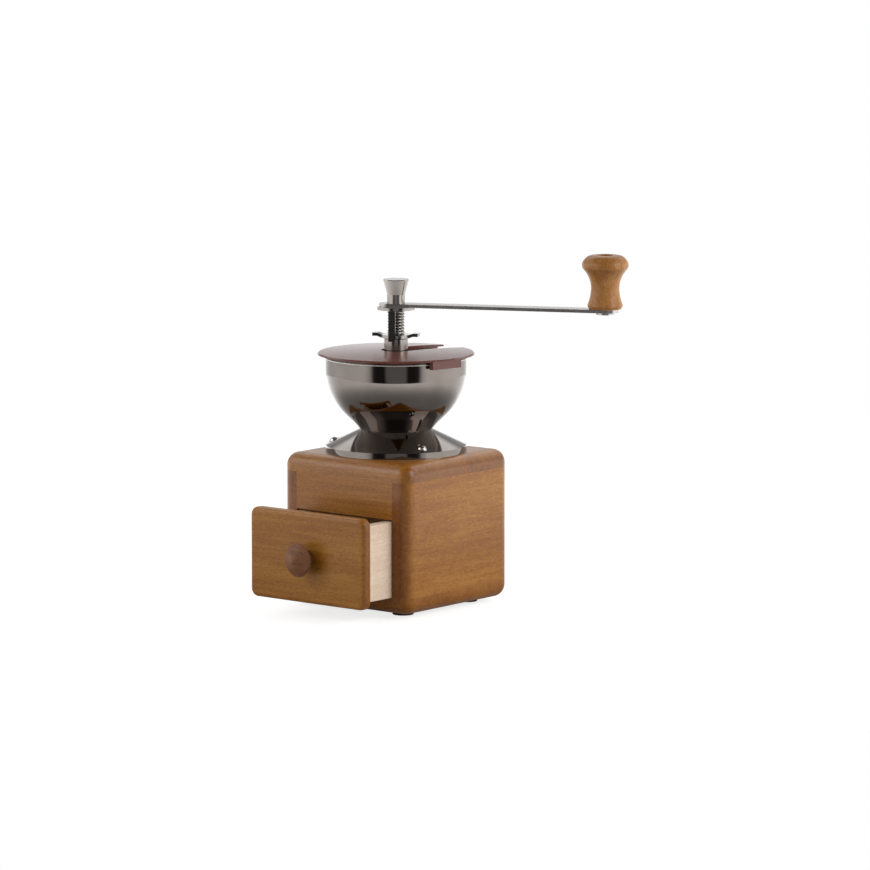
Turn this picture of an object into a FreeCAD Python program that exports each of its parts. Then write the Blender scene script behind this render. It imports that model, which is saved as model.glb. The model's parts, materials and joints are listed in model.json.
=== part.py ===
import FreeCAD, Part
import Sketcher
import math
import os

# Hand coffee grinder: a wooden case with a drawer, a plated hopper bowl on a flange, and a crank
# that turns a cone burr. Millimetres, +Z up. The spindle is the Z axis and the feet stand on z = 0.
# The drawer opens towards -Y. The drawer and the crank stand as they do when the grinder is in use.

SIZES = [
    # Wooden case
    ("case_width", "100"),
    ("case_depth", "100"),
    ("case_height", "92.4"),
    ("edge_radius", "8"),
    ("top_thickness", "11"),
    ("bottom_thickness", "10.5"),
    ("side_thickness", "12"),
    ("panel_thickness", "10"),
    ("opening_height", "47.9"),
    ("throat_radius", "19.5"),
    ("foot_height", "2.5"),
    ("foot_radius", "7"),
    ("foot_inset", "19"),
    ("foot_draft", "0.6"),
    # Drawer
    ("drawer_drawn", "29.4"),
    ("front_width", "90.8"),
    ("front_height", "55.5"),
    ("front_thickness", "6"),
    ("front_drop", "2.8"),
    ("front_corner_radius", "5"),
    ("front_edge_radius", "2.6"),
    ("drawer_clearance", "0.3"),
    ("drawer_headroom", "1.2"),
    ("drawer_back_clearance", "2"),
    ("drawer_wall", "6"),
    ("drawer_base_thickness", "4"),
    ("drawer_base_rise", "2"),
    ("knob_radius", "10.3"),
    ("knob_neck_radius", "5.6"),
    ("knob_face_radius", "9.2"),
    ("knob_neck_length", "3.5"),
    ("knob_widest", "8"),
    ("knob_reach", "13.2"),
    ("knob_screw_radius", "2"),
    ("knob_screw_head_radius", "4"),
    ("knob_screw_head_depth", "2.2"),
    ("knob_screw_bite", "8"),
    # Flange and hopper bowl
    ("flange_radius", "43.5"),
    ("flange_band", "3.8"),
    ("flange_height", "13.7"),
    ("flange_wall", "2.2"),
    ("neck_radius", "22.2"),
    ("flange_screw_circle", "38.2"),
    ("flange_screw_turn", "-26"),
    ("flange_boss_radius", "3.6"),
    ("flange_boss_height", "5.2"),
    ("screw_radius", "1.7"),
    ("screw_head_radius", "3"),
    ("screw_head_height", "2.7"),
    ("screw_bite", "8"),
    ("screw_fit", "0.05"),
    ("seat_clearance", "0.3"),
    ("bowl_radius", "43.4"),
    ("bowl_height", "44.6"),
    ("bowl_straight", "7.8"),
    ("bowl_belly_radius", "38.6"),
    ("bowl_belly_turn", "45.9"),
    ("bowl_wall", "1.5"),
    # Burr housing, burrs and bearings
    ("housing_flange_radius", "20.4"),
    ("housing_flange_thickness", "2"),
    ("housing_radius", "18.5"),
    ("housing_bore_radius", "16.8"),
    ("housing_lip_radius", "15.2"),
    ("housing_length", "32.1"),
    ("ledge_depth", "19.1"),
    ("press_clearance", "0.05"),
    ("outer_burr_height", "16"),
    ("outer_burr_mouth_radius", "14.4"),
    ("grind_zone", "5"),
    ("burr_gap", "0.7"),
    ("outer_tooth_depth", "1.3"),
    ("outer_tooth_turn", "14"),
    ("outer_tooth_count", "18"),
    ("inner_burr_height", "16"),
    ("inner_burr_drop", "1"),
    ("inner_burr_base_radius", "13.2"),
    ("inner_burr_top_radius", "7.4"),
    ("inner_tooth_depth", "1.9"),
    ("inner_tooth_top_depth", "1.4"),
    ("inner_tooth_turn", "38"),
    ("inner_tooth_count", "12"),
    ("bearing_thickness", "4"),
    ("bearing_hub_radius", "6.6"),
    ("bearing_rim", "2.2"),
    ("bearing_arm_width", "3.4"),
    ("running_clearance", "0.05"),
    ("bracket_height", "37.2"),
    ("bracket_width", "12"),
    ("bracket_strip", "2.2"),
    ("bracket_half_span", "16.9"),
    ("bracket_foot_reach", "20.2"),
    ("bracket_screw_radius", "1.2"),
    ("bracket_screw_head_radius", "1.5"),
    ("bracket_screw_head_height", "1.2"),
    ("bush_radius", "5.6"),
    ("bush_flange_radius", "7.6"),
    ("bush_flange_thickness", "1.3"),
    ("bush_length", "7"),
    # Spindle, adjusting nut and lock
    ("spindle_radius", "4"),
    ("spindle_tail", "1"),
    ("collar_radius", "5.6"),
    ("collar_height", "2"),
    ("square_side", "5.6"),
    ("square_fit", "0.05"),
    ("stud_radius", "2.7"),
    ("stud_length", "9"),
    ("burr_nut_radius", "6.8"),
    ("burr_nut_height", "4"),
    ("washer_radius", "7"),
    ("washer_thickness", "1.5"),
    ("nut_radius", "7.3"),
    ("nut_height", "12.7"),
    ("nut_chamfer", "0.6"),
    ("plate_thickness", "2"),
    ("plate_radius", "8.9"),
    ("plate_slip", "0.3"),
    ("wing_reach", "14.4"),
    ("wing_width", "6"),
    ("wing_bend", "9.6"),
    ("wing_rise", "1"),
    ("wing_tip", "3"),
    ("spring_length", "15.4"),
    ("spring_radius", "5"),
    ("spring_wire", "0.85"),
    ("spring_turns", "7"),
    ("spring_lead", "1.9"),
    ("cage_radius", "11.6"),
    ("cage_thickness", "1.8"),
    ("leg_width", "4.3"),
    ("leg_thickness", "1.5"),
    ("leg_length", "18.9"),
    # Crank arm, handle nut and grip
    ("crank_turn", "25"),
    ("arm_reach", "131.4"),
    ("arm_thickness", "2"),
    ("arm_width", "11.4"),
    ("arm_tail", "10.5"),
    ("arm_end", "8.2"),
    ("handle_nut_height", "14.9"),
    ("handle_nut_stem_radius", "5.5"),
    ("handle_nut_stem", "5.6"),
    ("handle_nut_radius", "7.9"),
    ("handle_nut_crown", "0.4"),
    ("grip_gap", "0.3"),
    ("grip_height", "32.7"),
    ("grip_base_radius", "10.9"),
    ("grip_base_height", "2"),
    ("grip_waist_radius", "8.6"),
    ("grip_waist_height", "13"),
    ("grip_neck_radius", "9.9"),
    ("grip_neck_height", "18.8"),
    ("grip_shoulder_radius", "13.5"),
    ("grip_shoulder_height", "24.4"),
    ("grip_radius", "14.2"),
    ("grip_widest", "26.8"),
    ("grip_brow_radius", "13"),
    ("grip_brow_height", "29.8"),
    ("grip_crown_radius", "11"),
    ("grip_crown_height", "31.8"),
    ("grip_top_radius", "7.6"),
    ("grip_recess_radius", "4.8"),
    ("grip_recess_depth", "3.4"),
    ("pin_radius", "2.5"),
    ("pin_head_radius", "4"),
    ("pin_head_height", "1.6"),
    ("rivet_radius", "5.6"),
    ("rivet_height", "1.2"),
    # Lid
    ("lid_gap", "0.2"),
    ("lid_turn", "-9.5"),
    ("lid_radius", "48.3"),
    ("lid_edge", "2.4"),
    ("lid_edge_round", "0.7"),
    ("lid_ring_radius", "43.2"),
    ("lid_step", "1.3"),
    ("lid_rise", "1.5"),
    ("lid_skin", "2.2"),
    ("lid_recess_radius", "39"),
    ("slot_width", "18.5"),
    ("tab_width", "22.8"),
    ("tab_thickness", "3.3"),
    ("tab_drop", "3.5"),
    ("tab_set", "0.8"),
    ("tab_shoulder", "0.7"),
]

doc = FreeCAD.newDocument("CoffeeGrinder")
sheet = doc.addObject("Spreadsheet::Sheet", "Sizes")
for row, (alias, text) in enumerate(SIZES, 1):
    sheet.set("A%d" % row, alias)
    sheet.set("B%d" % row, text)
    sheet.setAlias("B%d" % row, alias)
doc.recompute()


class Len:
    """A number together with the sheet expression that gives it."""

    def __init__(self, value, text):
        self.value = float(value)
        self.text = text

    def __add__(self, other):
        other = as_len(other)
        return Len(self.value + other.value, "(%s + %s)" % (self.text, other.text))

    def __radd__(self, other):
        return as_len(other) + self

    def __sub__(self, other):
        other = as_len(other)
        return Len(self.value - other.value, "(%s - %s)" % (self.text, other.text))

    def __rsub__(self, other):
        return as_len(other) - self

    def __mul__(self, other):
        other = as_len(other)
        return Len(self.value * other.value, "(%s * %s)" % (self.text, other.text))

    def __rmul__(self, other):
        return as_len(other) * self

    def __truediv__(self, other):
        other = as_len(other)
        return Len(self.value / other.value, "(%s / %s)" % (self.text, other.text))

    def __neg__(self):
        return Len(-self.value, "(0 - %s)" % self.text)


class Sheet:
    """Reads one named size of the sheet as a Len."""

    def __getattr__(self, name):
        return Len(sheet.get(name), "Sizes." + name)


def as_len(number):
    """Turns a plain number into a Len."""
    if isinstance(number, Len):
        return number
    return Len(number, repr(float(number)))


def cosine(angle):
    """Cosine of a Len in degrees."""
    return Len(math.cos(math.radians(angle.value)), "cos(%s)" % angle.text)


def sine(angle):
    """Sine of a Len in degrees."""
    return Len(math.sin(math.radians(angle.value)), "sin(%s)" % angle.text)


def root(area):
    """Square root of a Len."""
    return Len(math.sqrt(area.value), "sqrt(%s)" % area.text)


def cap(base, rise, out):
    """Height of a spherical cap of one base radius and rise, at a distance out from its axis."""
    ball = (base * base + rise * rise) / (rise * 2)
    return root(ball * ball - out * out) - (ball - rise)


def bind(obj, prop, size):
    """Ties one property of an object to the sheet."""
    obj.setExpression(prop, as_len(size).text)


def new_body(label, base=(0, 0, 0), turn=None, axis=(0, 0, 1)):
    """A body with its label, its place and its turn about one axis."""
    body = doc.addObject("PartDesign::Body", label)
    body.Label = label
    place = [as_len(value) for value in base]
    angle = as_len(0 if turn is None else turn)
    spot = FreeCAD.Vector(*[value.value for value in place])
    body.Placement = FreeCAD.Placement(spot, FreeCAD.Rotation(FreeCAD.Vector(*axis), angle.value))
    for letter, value in zip("xyz", place):
        bind(body, "Placement.Base." + letter, value)
    if turn is not None:
        bind(body, "Placement.Rotation.Angle", angle)
    return body


def origin_part(body, role):
    """One of the body's own origin planes or axes."""
    return [part for part in body.Origin.OriginFeatures if part.Role == role][0]


def tie(sketch, constraints, sizes):
    """Adds constraints together and ties those that have a size to the sheet."""
    made = sketch.addConstraint(constraints)
    for index, size in zip(made, sizes):
        if size is not None:
            sketch.setExpression("Constraints[%d]" % index, size.text)


def place_point(geo, pos, x, y):
    """The two constraints that hold a sketch point at its coordinates, with their sizes."""
    sizes = [as_len(x), as_len(y)]
    made = [Sketcher.Constraint("DistanceX", -1, 1, geo, pos, sizes[0].value),
            Sketcher.Constraint("DistanceY", -1, 1, geo, pos, sizes[1].value)]
    return made, sizes


def flat(x, y):
    """A point of the sketch plane, from two Len values."""
    return FreeCAD.Vector(as_len(x).value, as_len(y).value, 0)


def arc_through(start, via, finish):
    """Arc of a circle through three points, and True where it runs from start to finish."""
    circle = Part.Arc(start, via, finish).toShape().Curve
    onward = (via - start).cross(finish - via).z > 0
    first, last = (start, finish) if onward else (finish, start)
    begin = math.atan2(first.y - circle.Center.y, first.x - circle.Center.x)
    end = math.atan2(last.y - circle.Center.y, last.x - circle.Center.x)
    if end <= begin:
        end += 2 * math.pi
    ring = Part.Circle(circle.Center, FreeCAD.Vector(0, 0, 1), circle.Radius)
    return Part.ArcOfCircle(ring, begin, end), onward


def draw_loop(sketch, points):
    """Closed loop of corners (x, y). A third item marks a point that an arc passes through."""
    corners = [item for item in points if len(item) == 2]
    places = [index for index, item in enumerate(points) if len(item) == 2]
    curves = []
    heads = []
    arcs = []
    for order, index in enumerate(places):
        start = flat(*corners[order])
        finish = flat(*corners[(order + 1) % len(corners)])
        following = points[(index + 1) % len(points)]
        if len(following) == 2:
            curves.append(Part.LineSegment(start, finish))
            heads.append((1, 2))
        else:
            curve, onward = arc_through(start, flat(following[0], following[1]), finish)
            curves.append(curve)
            heads.append((1, 2) if onward else (2, 1))
            arcs.append((order, following))
    made = sketch.addGeometry(curves, False)
    constraints = []
    sizes = []
    for order, corner in enumerate(corners):
        constraints.append(Sketcher.Constraint("Coincident", made[order - 1], heads[order - 1][1],
                                               made[order], heads[order][0]))
        sizes.append(None)
        pair, values = place_point(made[order], heads[order][0], corner[0], corner[1])
        constraints += pair
        sizes += values
    for order, via in arcs:
        spot = sketch.addGeometry(Part.Point(flat(via[0], via[1])), True)
        pair, values = place_point(spot, 1, via[0], via[1])
        constraints += pair + [Sketcher.Constraint("PointOnObject", spot, 1, made[order])]
        sizes += values + [None]
    tie(sketch, constraints, sizes)


def draw_circle(sketch, x, y, radius):
    """Circle with its centre and radius tied to the sheet."""
    radius = as_len(radius)
    geo = sketch.addGeometry(Part.Circle(flat(x, y), FreeCAD.Vector(0, 0, 1), radius.value))
    pair, values = place_point(geo, 3, x, y)
    tie(sketch, pair + [Sketcher.Constraint("Radius", geo, radius.value)], values + [radius])


def new_sketch(body, name, role="XY_Plane", lift=None):
    """Empty sketch on one of the body's planes, lifted along that plane's normal."""
    sketch = body.newObject("Sketcher::SketchObject", name)
    sketch.AttachmentSupport = (origin_part(body, role), [""])
    sketch.MapMode = "FlatFace"
    if lift is not None:
        shift = FreeCAD.Vector(0, 0, as_len(lift).value)
        sketch.AttachmentOffset = FreeCAD.Placement(shift, FreeCAD.Rotation())
        bind(sketch, "AttachmentOffset.Base.z", lift)
    return sketch


def outline(body, name, role, points, lift=None):
    """Sketch that holds one closed loop."""
    sketch = new_sketch(body, name, role, lift)
    draw_loop(sketch, points)
    return sketch


def rectangle(x0, x1, y0, y1):
    """Four corners of an upright rectangle."""
    return [(x0, y0), (x1, y0), (x1, y1), (x0, y1)]


def revolve(body, name, points):
    """Solid turned about Z from a profile of (radius, height) points."""
    sketch = outline(body, name + "Profile", "XZ_Plane", points)
    feature = body.newObject("PartDesign::Revolution", name)
    feature.Profile = sketch
    feature.ReferenceAxis = (sketch, ["V_Axis"])
    feature.Angle = 360
    doc.recompute()
    return feature


def pad(body, name, sketch, length, symmetric=False):
    """Pad of a sketch along its normal, or to both sides of its plane."""
    feature = body.newObject("PartDesign::Pad", name)
    feature.Profile = sketch
    feature.Length = as_len(length).value
    bind(feature, "Length", length)
    if symmetric:
        feature.SideType = "Symmetric"
    doc.recompute()
    return feature


def cut(body, name, sketch, length, reverse=False):
    """Pocket of a sketch, against its normal unless reversed; it has to remove something."""
    before = body.Shape.Volume
    feature = body.newObject("PartDesign::Pocket", name)
    feature.Profile = sketch
    feature.Length = as_len(length).value
    bind(feature, "Length", length)
    feature.Reversed = reverse
    doc.recompute()
    if feature.Shape.Volume > before - 1e-6:
        raise ValueError(name + " cuts nothing")
    return feature


def polar(body, name, features, count):
    """Copies of features spread evenly about the body's Z axis."""
    pattern = body.newObject("PartDesign::PolarPattern", name)
    pattern.Originals = features
    pattern.Axis = (origin_part(body, "Z_Axis"), [""])
    pattern.Angle = 360
    if isinstance(count, Len):
        pattern.Occurrences = int(count.value)
        bind(pattern, "Occurrences", count)
    else:
        pattern.Occurrences = count
    body.Tip = pattern
    doc.recompute()
    return pattern


def round_edges(body, name, base, radius, choose):
    """Fillet on the edges of a feature that the rule picks."""
    doc.recompute()
    picked = ["Edge%d" % (i + 1) for i, edge in enumerate(base.Shape.Edges) if choose(edge)]
    feature = body.newObject("PartDesign::Fillet", name)
    feature.Base = (base, picked)
    feature.Radius = as_len(radius).value
    bind(feature, "Radius", radius)
    doc.recompute()
    return feature


def upright(edge):
    """True for a straight vertical edge."""
    box = edge.BoundBox
    return box.XLength < 1e-6 and box.YLength < 1e-6


def level(edge, height):
    """True for an edge that lies in one horizontal plane."""
    box = edge.BoundBox
    return abs(box.ZMin - height) < 1e-6 and abs(box.ZMax - height) < 1e-6


s = Sheet()
half_width = s.case_width / 2
half_depth = s.case_depth / 2
inner_half = half_width - s.side_thickness
case_top = s.foot_height + s.case_height
floor_top = s.foot_height + s.bottom_thickness
ceiling = case_top - s.top_thickness
opening_top = floor_top + s.opening_height
neck_level = case_top + s.flange_height
rim_level = neck_level + s.bowl_height
deck_level = neck_level + s.bowl_wall + s.housing_flange_thickness
bracket_level = deck_level + s.bracket_height
bush_level = bracket_level + s.bush_flange_thickness
nut_level = bush_level + s.washer_thickness
plate_level = nut_level + s.nut_height
spring_level = plate_level + s.plate_thickness
cage_level = spring_level + s.spring_length
arm_level = cage_level + s.cage_thickness
arm_top = arm_level + s.arm_thickness
ledge_level = deck_level - s.ledge_depth
housing_foot = deck_level - s.housing_length
inner_burr_level = ledge_level - s.inner_burr_drop
grip_x = s.arm_reach * cosine(s.crank_turn)
grip_y = s.arm_reach * sine(s.crank_turn)

# Top board: rounded at its ends and upper edges, with the throat and the flange's pilot holes
body = new_body("top_board", (0, 0, ceiling))
corners = rectangle(-half_width, half_width, -half_depth, half_depth)
sketch = outline(body, "TopOutline", "XY_Plane", corners)
board = pad(body, "TopPad", sketch, s.top_thickness)
top_height = s.top_thickness.value
round_edges(body, "TopRound", board, s.edge_radius, lambda e: upright(e) or level(e, top_height))
sketch = new_sketch(body, "Throat", "XY_Plane", s.top_thickness)
draw_circle(sketch, 0, 0, s.throat_radius)
cut(body, "ThroatHole", sketch, s.top_thickness)
sketch = new_sketch(body, "Pilot", "XY_Plane", s.top_thickness)
pilot_x = s.flange_screw_circle * cosine(s.flange_screw_turn)
pilot_y = s.flange_screw_circle * sine(s.flange_screw_turn)
draw_circle(sketch, pilot_x, pilot_y, s.screw_radius + s.screw_fit)
pilot = cut(body, "PilotHole", sketch, s.screw_bite + s.seat_clearance)
polar(body, "PilotHoles", [pilot], 3)

# Bottom board: rounded at its ends and lower edges
body = new_body("bottom_board", (0, 0, s.foot_height))
corners = rectangle(-half_width, half_width, -half_depth, half_depth)
sketch = outline(body, "BaseOutline", "XY_Plane", corners)
board = pad(body, "BasePad", sketch, s.bottom_thickness)
round_edges(body, "BaseRound", board, s.edge_radius, lambda e: upright(e) or level(e, 0.0))

# Side boards between them, rounded along their outer upright edges
for label, sign in (("left_side_board", -1), ("right_side_board", 1)):
    body = new_body(label, (0, 0, floor_top))
    corners = rectangle(inner_half * sign, half_width * sign, -half_depth, half_depth)
    sketch = outline(body, "SideOutline", "XY_Plane", corners)
    board = pad(body, "SidePad", sketch, ceiling - floor_top)
    outer = half_width.value * sign
    round_edges(body, "SideRound", board, s.edge_radius,
                lambda e: upright(e) and abs(e.BoundBox.XMin - outer) < 1e-6)

# Front panel over the drawer opening, and the back panel
body = new_body("front_panel", (0, 0, opening_top))
corners = rectangle(-inner_half, inner_half, -half_depth, s.panel_thickness - half_depth)
sketch = outline(body, "FrontOutline", "XY_Plane", corners)
pad(body, "FrontPad", sketch, ceiling - opening_top)
body = new_body("back_panel", (0, 0, floor_top))
corners = rectangle(-inner_half, inner_half, half_depth - s.panel_thickness, half_depth)
sketch = outline(body, "BackOutline", "XY_Plane", corners)
pad(body, "BackPad", sketch, ceiling - floor_top)

# Four rubber feet, drawn in a little towards the bottom
feet = []
for x_sign, y_sign in ((-1, -1), (1, -1), (1, 1), (-1, 1)):
    foot = doc.addObject("Part::Cone", "Foot%d" % len(feet))
    bind(foot, "Radius1", s.foot_radius - s.foot_draft)
    bind(foot, "Radius2", s.foot_radius)
    bind(foot, "Height", s.foot_height)
    bind(foot, "Placement.Base.x", (half_width - s.foot_inset) * x_sign)
    bind(foot, "Placement.Base.y", (half_depth - s.foot_inset) * y_sign)
    feet.append(foot)
group = doc.addObject("Part::Compound", "rubber_feet")
group.Label = "rubber_feet"
group.Links = feet

# Drawer front: an overlay board with rounded corners and eased edges
front_back = -half_depth - s.drawer_drawn
front_level = floor_top - s.front_drop
body = new_body("drawer_front", (0, front_back, front_level))
corners = rectangle(-s.front_width / 2, s.front_width / 2, 0, s.front_height)
sketch = outline(body, "PanelOutline", "XZ_Plane", corners)
panel = pad(body, "PanelPad", sketch, s.front_thickness)
face = -s.front_thickness.value
corner = round_edges(body, "PanelCorner", panel, s.front_corner_radius,
                     lambda e: e.BoundBox.YLength > s.front_thickness.value - 1e-6)
round_edges(body, "PanelEdge", corner, s.front_edge_radius,
            lambda e: abs(e.BoundBox.YMin - face) < 1e-6 and abs(e.BoundBox.YMax - face) < 1e-6)
sketch = new_sketch(body, "ScrewWay", "XZ_Plane")
draw_circle(sketch, 0, s.front_height / 2, s.knob_screw_radius + s.screw_fit)
cut(body, "ScrewHole", sketch, s.front_thickness, True)
sketch = new_sketch(body, "ScrewSink", "XZ_Plane")
draw_circle(sketch, 0, s.front_height / 2, s.knob_screw_head_radius + s.screw_fit)
cut(body, "ScrewSeat", sketch, s.knob_screw_head_depth, True)

# Drawer box: two sides, a back and a bottom held between them
box_level = floor_top + s.drawer_clearance
box_height = s.opening_height - s.drawer_clearance - s.drawer_headroom
box_length = s.case_depth - s.panel_thickness - s.drawer_back_clearance
box_half = inner_half - s.drawer_clearance
for label, sign in (("drawer_left_side", -1), ("drawer_right_side", 1)):
    body = new_body(label, (0, front_back, box_level))
    corners = rectangle((box_half - s.drawer_wall) * sign, box_half * sign, 0, box_length)
    sketch = outline(body, "WallOutline", "XY_Plane", corners)
    pad(body, "WallPad", sketch, box_height)
body = new_body("drawer_back", (0, front_back, box_level))
box_inner = box_half - s.drawer_wall
corners = rectangle(-box_inner, box_inner, box_length - s.drawer_wall, box_length)
sketch = outline(body, "WallOutline", "XY_Plane", corners)
pad(body, "WallPad", sketch, box_height)
body = new_body("drawer_bottom", (0, front_back, box_level + s.drawer_base_rise))
corners = rectangle(-box_inner, box_inner, 0, box_length - s.drawer_wall)
sketch = outline(body, "PlateOutline", "XY_Plane", corners)
pad(body, "PlatePad", sketch, s.drawer_base_thickness)

# Turned knob with a shallow cone face, and its screw from inside the drawer
knob_level = front_level + s.front_height / 2
knob_seat = front_back - s.front_thickness
body = new_body("drawer_knob", (0, knob_seat, knob_level), 90, (1, 0, 0))
bore = s.knob_screw_radius + s.screw_fit
revolve(body, "Knob", [
    (bore, 0), (s.knob_neck_radius, 0), (s.knob_neck_radius, s.knob_neck_length),
    (s.knob_radius, s.knob_widest),
    (s.knob_face_radius, s.knob_widest + (s.knob_radius - s.knob_face_radius)),
    (0, s.knob_reach), (0, s.knob_screw_bite + s.seat_clearance),
    (bore, s.knob_screw_bite + s.seat_clearance)])
body = new_body("knob_screw", (0, front_back, knob_level), 90, (1, 0, 0))
revolve(body, "Screw", [
    (0, 0), (s.knob_screw_head_radius, 0), (s.knob_screw_head_radius, s.knob_screw_head_depth),
    (s.knob_screw_radius, s.knob_screw_head_depth),
    (s.knob_screw_radius, s.front_thickness + s.knob_screw_bite),
    (0, s.front_thickness + s.knob_screw_bite)])

# Base flange: upright band, straight cone up to the neck, three screw bosses
body = new_body("base_flange", (0, 0, case_top), s.flange_screw_turn)
inner_neck = s.neck_radius - s.flange_wall
inner_base = s.flange_radius - s.flange_wall
revolve(body, "Skirt", [
    (inner_base, 0), (s.flange_radius, 0), (s.flange_radius, s.flange_band),
    (s.neck_radius, s.flange_height), (inner_neck, s.flange_height),
    (inner_neck, s.flange_height - s.flange_wall), (inner_base, s.flange_band - s.flange_wall / 2)])
sketch = new_sketch(body, "Boss", "XY_Plane")
draw_circle(sketch, s.flange_screw_circle, 0, s.flange_boss_radius)
boss = pad(body, "BossPad", sketch, s.flange_boss_height)
sketch = new_sketch(body, "Seat", "XY_Plane", s.flange_boss_height)
draw_circle(sketch, s.flange_screw_circle, 0, s.screw_head_radius + s.seat_clearance)
seat = cut(body, "SeatCut", sketch, s.flange_height, True)
sketch = new_sketch(body, "Way", "XY_Plane", s.flange_boss_height)
draw_circle(sketch, s.flange_screw_circle, 0, s.screw_radius + s.screw_fit)
way = cut(body, "WayCut", sketch, s.flange_boss_height)
polar(body, "Bosses", [boss, seat, way], 3)

# Three domed screws that hold the flange to the top board
body = new_body("flange_screws", (0, 0, case_top + s.flange_boss_height), s.flange_screw_turn)
body.AllowCompound = True
dome_out = s.screw_head_radius * 0.7
sketch = outline(body, "ScrewProfile", "XZ_Plane", [
    (s.flange_screw_circle, s.screw_head_height),
    (s.flange_screw_circle, -s.flange_boss_height - s.screw_bite),
    (s.flange_screw_circle + s.screw_radius, -s.flange_boss_height - s.screw_bite),
    (s.flange_screw_circle + s.screw_radius, 0),
    (s.flange_screw_circle + s.screw_head_radius, 0),
    (s.flange_screw_circle + dome_out, cap(s.screw_head_radius, s.screw_head_height, dome_out), "arc")])
screw = body.newObject("PartDesign::Revolution", "Screw")
screw.Profile = sketch
screw.ReferenceAxis = (sketch, ["Edge1"])
screw.Angle = 360
doc.recompute()
polar(body, "Screws", [screw], 3)

# Hopper bowl: straight rim, a belly that turns in from it, a cone down to the floor on the neck
body = new_body("hopper_bowl", (0, 0, neck_level))
belly_start = s.bowl_height - s.bowl_straight
belly_centre = s.bowl_radius - s.bowl_belly_radius
floor_hole = s.housing_radius + s.press_clearance


def belly(radius, turn):
    """Point of the belly's section at one turn below its start."""
    return belly_centre + radius * cosine(turn), belly_start - radius * sine(turn)


turned = s.bowl_belly_turn
inner_radius = s.bowl_belly_radius - s.bowl_wall
inner_foot = belly(inner_radius, turned)
floor_edge = inner_foot[0] - (inner_foot[1] - s.bowl_wall) * (sine(turned) / cosine(turned))
revolve(body, "Bowl", [
    (floor_hole, 0), (s.neck_radius, 0), belly(s.bowl_belly_radius, turned),
    belly(s.bowl_belly_radius, turned / 2) + ("arc",),
    (s.bowl_radius, belly_start), (s.bowl_radius, s.bowl_height),
    (s.bowl_radius - s.bowl_wall, s.bowl_height), (s.bowl_radius - s.bowl_wall, belly_start),
    belly(inner_radius, turned / 2) + ("arc",),
    inner_foot, (floor_edge, s.bowl_wall), (floor_hole, s.bowl_wall)])

# Burr housing: a flanged tube in the neck with a ledge for the outer burr
screw_place = (s.bracket_half_span + s.bracket_foot_reach) / 2
body = new_body("burr_housing", (0, 0, deck_level))
revolve(body, "Housing", [
    (s.housing_bore_radius, 0), (s.housing_flange_radius, 0),
    (s.housing_flange_radius, -s.housing_flange_thickness),
    (s.housing_radius, -s.housing_flange_thickness), (s.housing_radius, -s.housing_length),
    (s.housing_lip_radius, -s.housing_length), (s.housing_lip_radius, -s.ledge_depth),
    (s.housing_bore_radius, -s.ledge_depth)])
sketch = new_sketch(body, "Tapped", "XY_Plane")
draw_circle(sketch, screw_place, 0, s.bracket_screw_radius + s.screw_fit)
tapped = cut(body, "TappedHole", sketch, s.housing_flange_thickness)
polar(body, "TappedHoles", [tapped], 2)

# Outer burr: a ring that narrows to the grinding zone, with slanted V grooves all round
slope = (s.inner_burr_base_radius - s.inner_burr_top_radius) / s.inner_burr_height
throat_low = s.inner_burr_base_radius - slope * s.inner_burr_drop + s.burr_gap
throat_mid = throat_low - slope * s.grind_zone
body = new_body("outer_burr", (0, 0, ledge_level))
ring_radius = s.housing_bore_radius - s.press_clearance
revolve(body, "Ring", [
    (throat_low, 0), (ring_radius, 0), (ring_radius, s.outer_burr_height),
    (s.outer_burr_mouth_radius, s.outer_burr_height), (throat_mid, s.grind_zone)])
tooth_half = s.outer_tooth_depth * 0.8
lower = outline(body, "GrooveLow", "XY_Plane", [
    (throat_mid - tooth_half, tooth_half), (throat_mid - tooth_half, -tooth_half),
    (throat_mid + s.outer_tooth_depth, 0)], s.grind_zone * 0.4)
turned = s.outer_tooth_turn
mouth_in = s.outer_burr_mouth_radius - tooth_half
mouth_out = s.outer_burr_mouth_radius + s.outer_tooth_depth
upper = outline(body, "GrooveHigh", "XY_Plane", [
    (mouth_in * cosine(turned) - tooth_half * sine(turned),
     mouth_in * sine(turned) + tooth_half * cosine(turned)),
    (mouth_in * cosine(turned) + tooth_half * sine(turned),
     mouth_in * sine(turned) - tooth_half * cosine(turned)),
    (mouth_out * cosine(turned), mouth_out * sine(turned))], s.outer_burr_height)
groove = body.newObject("PartDesign::SubtractiveLoft", "Groove")
groove.Profile = lower
groove.Sections = [upper]
groove.Ruled = True
doc.recompute()
polar(body, "Grooves", [groove], s.outer_tooth_count)

# Lower bearing: a rim in the housing's foot, three arms and a hub round the spindle
body = new_body("lower_bearing", (0, 0, housing_foot))
rim_radius = s.housing_lip_radius - s.press_clearance
shaft_hole = s.spindle_radius + s.running_clearance
revolve(body, "Rim", rectangle(rim_radius - s.bearing_rim, rim_radius, 0, s.bearing_thickness))
arm_half = s.bearing_arm_width / 2
corners = rectangle(s.bearing_hub_radius - arm_half, rim_radius - s.bearing_rim / 2, -arm_half, arm_half)
sketch = outline(body, "ArmOutline", "XY_Plane", corners)
arm = pad(body, "ArmPad", sketch, s.bearing_thickness)
polar(body, "Arms", [arm], 3)
sketch = new_sketch(body, "Hub", "XY_Plane")
draw_circle(sketch, 0, 0, s.bearing_hub_radius)
pad(body, "HubPad", sketch, s.bearing_thickness)
sketch = new_sketch(body, "HubBore", "XY_Plane", s.bearing_thickness)
draw_circle(sketch, 0, 0, shaft_hole)
body.Tip = cut(body, "HubHole", sketch, s.bearing_thickness)

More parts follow.
